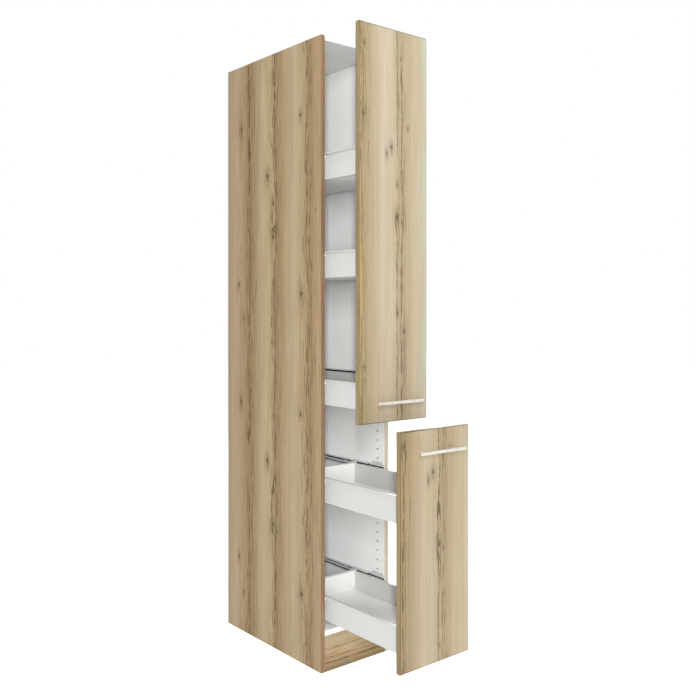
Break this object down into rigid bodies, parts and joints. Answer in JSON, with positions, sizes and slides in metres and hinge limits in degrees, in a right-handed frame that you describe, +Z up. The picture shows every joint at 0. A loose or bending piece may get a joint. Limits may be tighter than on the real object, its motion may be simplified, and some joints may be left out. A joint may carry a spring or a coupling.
{
  "type": "pantry cabinet",
  "caption": "Tall narrow kitchen pantry cabinet with two stacked pull-outs, each a wood-decor front with a bar handle and white trays on roller runners.",
  "frame": {"origin": "middle of the plinth board's underside, on the floor", "axes": "+Z up, +X to the right seen from the front, -Y out of the front"},
  "size_m": [0.3, 0.946, 2.068],
  "materials": {
    "wood_decor": "matt printed oak decor with a fine pore",
    "white_board": "white melamine-faced chipboard",
    "white_steel": "white powder coat, satin",
    "zinc_steel": "zinc plated, roll formed",
    "satin_steel": "fine brushed, satin",
    "nylon": "moulded, matt"
  },
  "bodies": {
    "carcass": {"side_panel_left": "wood_decor", "side_panel_right": "wood_decor", "top_board": "white_board", "bottom_board": "white_board", "plinth_board": "wood_decor", "back_panel": "white_board", "lower_1_runner_left": "zinc_steel", "lower_1_runner_right": "zinc_steel", "lower_2_runner_left": "zinc_steel", "lower_2_runner_right": "zinc_steel", "upper_1_runner_left": "zinc_steel", "upper_1_runner_right": "zinc_steel", "upper_2_runner_left": "zinc_steel", "upper_2_runner_right": "zinc_steel", "upper_3_runner_left": "zinc_steel", "upper_3_runner_right": "zinc_steel"},
    "lower_pullout": {"lower_front": "wood_decor", "lower_handle": "satin_steel", "lower_1_tray_side_left": "white_steel", "lower_1_tray_side_right": "white_steel", "lower_1_tray_floor": "white_board", "lower_1_tray_back": "white_board", "lower_2_tray_side_left": "white_steel", "lower_2_tray_side_right": "white_steel", "lower_2_tray_floor": "white_board", "lower_2_tray_back": "white_board"},
    "upper_pullout": {"upper_front": "wood_decor", "upper_handle": "satin_steel", "upper_1_tray_side_left": "white_steel", "upper_1_tray_side_right": "white_steel", "upper_1_tray_floor": "white_board", "upper_1_tray_back": "white_board", "upper_2_tray_side_left": "white_steel", "upper_2_tray_side_right": "white_steel", "upper_2_tray_floor": "white_board", "upper_2_tray_back": "white_board", "upper_3_tray_side_left": "white_steel", "upper_3_tray_side_right": "white_steel", "upper_3_tray_floor": "white_board", "upper_3_tray_back": "white_board"},
    "lower_1_front_roller_left": {"lower_1_front_roller_left": "nylon"},
    "lower_1_rear_roller_left": {"lower_1_rear_roller_left": "nylon"},
    "lower_1_front_roller_right": {"lower_1_front_roller_right": "nylon"},
    "lower_1_rear_roller_right": {"lower_1_rear_roller_right": "nylon"},
    "lower_2_front_roller_left": {"lower_2_front_roller_left": "nylon"},
    "lower_2_rear_roller_left": {"lower_2_rear_roller_left": "nylon"},
    "lower_2_front_roller_right": {"lower_2_front_roller_right": "nylon"},
    "lower_2_rear_roller_right": {"lower_2_rear_roller_right": "nylon"},
    "upper_1_front_roller_left": {"upper_1_front_roller_left": "nylon"},
    "upper_1_rear_roller_left": {"upper_1_rear_roller_left": "nylon"},
    "upper_1_front_roller_right": {"upper_1_front_roller_right": "nylon"},
    "upper_1_rear_roller_right": {"upper_1_rear_roller_right": "nylon"},
    "upper_2_front_roller_left": {"upper_2_front_roller_left": "nylon"},
    "upper_2_rear_roller_left": {"upper_2_rear_roller_left": "nylon"},
    "upper_2_front_roller_right": {"upper_2_front_roller_right": "nylon"},
    "upper_2_rear_roller_right": {"upper_2_rear_roller_right": "nylon"},
    "upper_3_front_roller_left": {"upper_3_front_roller_left": "nylon"},
    "upper_3_rear_roller_left": {"upper_3_rear_roller_left": "nylon"},
    "upper_3_front_roller_right": {"upper_3_front_roller_right": "nylon"},
    "upper_3_rear_roller_right": {"upper_3_rear_roller_right": "nylon"}
  },
  "joints": [
    {"name": "lower_slide", "type": "slide", "parent": "carcass", "child": "lower_pullout", "axis": [0, -1, 0], "range_m": [-0.34, 0.046]},
    {"name": "lower_1_front_roller_left_spin", "type": "hinge", "parent": "carcass", "child": "lower_1_front_roller_left", "pos_m": [-0.12765, 0.007, 0.2355], "axis": [1, 0, 0], "continuous": true},
    {"name": "lower_1_rear_roller_left_spin", "type": "hinge", "parent": "lower_pullout", "child": "lower_1_rear_roller_left", "pos_m": [-0.12765, 0.139, 0.2445], "axis": [1, 0, 0], "continuous": true},
    {"name": "lower_1_front_roller_right_spin", "type": "hinge", "parent": "carcass", "child": "lower_1_front_roller_right", "pos_m": [0.12765, 0.007, 0.2355], "axis": [1, 0, 0], "continuous": true},
    {"name": "lower_1_rear_roller_right_spin", "type": "hinge", "parent": "lower_pullout", "child": "lower_1_rear_roller_right", "pos_m": [0.12765, 0.139, 0.2445], "axis": [1, 0, 0], "continuous": true},
    {"name": "lower_2_front_roller_left_spin", "type": "hinge", "parent": "carcass", "child": "lower_2_front_roller_left", "pos_m": [-0.12765, 0.007, 0.6195], "axis": [1, 0, 0], "continuous": true},
    {"name": "lower_2_rear_roller_left_spin", "type": "hinge", "parent": "lower_pullout", "child": "lower_2_rear_roller_left", "pos_m": [-0.12765, 0.139, 0.6285], "axis": [1, 0, 0], "continuous": true},
    {"name": "lower_2_front_roller_right_spin", "type": "hinge", "parent": "carcass", "child": "lower_2_front_roller_right", "pos_m": [0.12765, 0.007, 0.6195], "axis": [1, 0, 0], "continuous": true},
    {"name": "lower_2_rear_roller_right_spin", "type": "hinge", "parent": "lower_pullout", "child": "lower_2_rear_roller_right", "pos_m": [0.12765, 0.139, 0.6285], "axis": [1, 0, 0], "continuous": true},
    {"name": "upper_slide", "type": "slide", "parent": "carcass", "child": "upper_pullout", "axis": [0, -1, 0], "range_m": [-0.163, 0.223]},
    {"name": "upper_1_front_roller_left_spin", "type": "hinge", "parent": "carcass", "child": "upper_1_front_roller_left", "pos_m": [-0.12765, 0.007, 0.9395], "axis": [1, 0, 0], "continuous": true},
    {"name": "upper_1_rear_roller_left_spin", "type": "hinge", "parent": "upper_pullout", "child": "upper_1_rear_roller_left", "pos_m": [-0.12765, 0.316, 0.9485], "axis": [1, 0, 0], "continuous": true},
    {"name": "upper_1_front_roller_right_spin", "type": "hinge", "parent": "carcass", "child": "upper_1_front_roller_right", "pos_m": [0.12765, 0.007, 0.9395], "axis": [1, 0, 0], "continuous": true},
    {"name": "upper_1_rear_roller_right_spin", "type": "hinge", "parent": "upper_pullout", "child": "upper_1_rear_roller_right", "pos_m": [0.12765, 0.316, 0.9485], "axis": [1, 0, 0], "continuous": true},
    {"name": "upper_2_front_roller_left_spin", "type": "hinge", "parent": "carcass", "child": "upper_2_front_roller_left", "pos_m": [-0.12765, 0.007, 1.3555], "axis": [1, 0, 0], "continuous": true},
    {"name": "upper_2_rear_roller_left_spin", "type": "hinge", "parent": "upper_pullout", "child": "upper_2_rear_roller_left", "pos_m": [-0.12765, 0.316, 1.3645], "axis": [1, 0, 0], "continuous": true},
    {"name": "upper_2_front_roller_right_spin", "type": "hinge", "parent": "carcass", "child": "upper_2_front_roller_right", "pos_m": [0.12765, 0.007, 1.3555], "axis": [1, 0, 0], "continuous": true},
    {"name": "upper_2_rear_roller_right_spin", "type": "hinge", "parent": "upper_pullout", "child": "upper_2_rear_roller_right", "pos_m": [0.12765, 0.316, 1.3645], "axis": [1, 0, 0], "continuous": true},
    {"name": "upper_3_front_roller_left_spin", "type": "hinge", "parent": "carcass", "child": "upper_3_front_roller_left", "pos_m": [-0.12765, 0.007, 1.6755], "axis": [1, 0, 0], "continuous": true},
    {"name": "upper_3_rear_roller_left_spin", "type": "hinge", "parent": "upper_pullout", "child": "upper_3_rear_roller_left", "pos_m": [-0.12765, 0.316, 1.6845], "axis": [1, 0, 0], "continuous": true},
    {"name": "upper_3_front_roller_right_spin", "type": "hinge", "parent": "carcass", "child": "upper_3_front_roller_right", "pos_m": [0.12765, 0.007, 1.6755], "axis": [1, 0, 0], "continuous": true},
    {"name": "upper_3_rear_roller_right_spin", "type": "hinge", "parent": "upper_pullout", "child": "upper_3_rear_roller_right", "pos_m": [0.12765, 0.316, 1.6845], "axis": [1, 0, 0], "continuous": true}
  ],
  "couplings": [
    {"joint": "lower_1_front_roller_left_spin", "follows": "lower_slide", "rad_per_m": 105.26},
    {"joint": "lower_1_rear_roller_left_spin", "follows": "lower_slide", "rad_per_m": 105.26},
    {"joint": "lower_1_front_roller_right_spin", "follows": "lower_slide", "rad_per_m": 105.26},
    {"joint": "lower_1_rear_roller_right_spin", "follows": "lower_slide", "rad_per_m": 105.26},
    {"joint": "lower_2_front_roller_left_spin", "follows": "lower_slide", "rad_per_m": 105.26},
    {"joint": "lower_2_rear_roller_left_spin", "follows": "lower_slide", "rad_per_m": 105.26},
    {"joint": "lower_2_front_roller_right_spin", "follows": "lower_slide", "rad_per_m": 105.26},
    {"joint": "lower_2_rear_roller_right_spin", "follows": "lower_slide", "rad_per_m": 105.26},
    {"joint": "upper_1_front_roller_left_spin", "follows": "upper_slide", "rad_per_m": 105.26},
    {"joint": "upper_1_rear_roller_left_spin", "follows": "upper_slide", "rad_per_m": 105.26},
    {"joint": "upper_1_front_roller_right_spin", "follows": "upper_slide", "rad_per_m": 105.26},
    {"joint": "upper_1_rear_roller_right_spin", "follows": "upper_slide", "rad_per_m": 105.26},
    {"joint": "upper_2_front_roller_left_spin", "follows": "upper_slide", "rad_per_m": 105.26},
    {"joint": "upper_2_rear_roller_left_spin", "follows": "upper_slide", "rad_per_m": 105.26},
    {"joint": "upper_2_front_roller_right_spin", "follows": "upper_slide", "rad_per_m": 105.26},
    {"joint": "upper_2_rear_roller_right_spin", "follows": "upper_slide", "rad_per_m": 105.26},
    {"joint": "upper_3_front_roller_left_spin", "follows": "upper_slide", "rad_per_m": 105.26},
    {"joint": "upper_3_rear_roller_left_spin", "follows": "upper_slide", "rad_per_m": 105.26},
    {"joint": "upper_3_front_roller_right_spin", "follows": "upper_slide", "rad_per_m": 105.26},
    {"joint": "upper_3_rear_roller_right_spin", "follows": "upper_slide", "rad_per_m": 105.26}
  ]
}
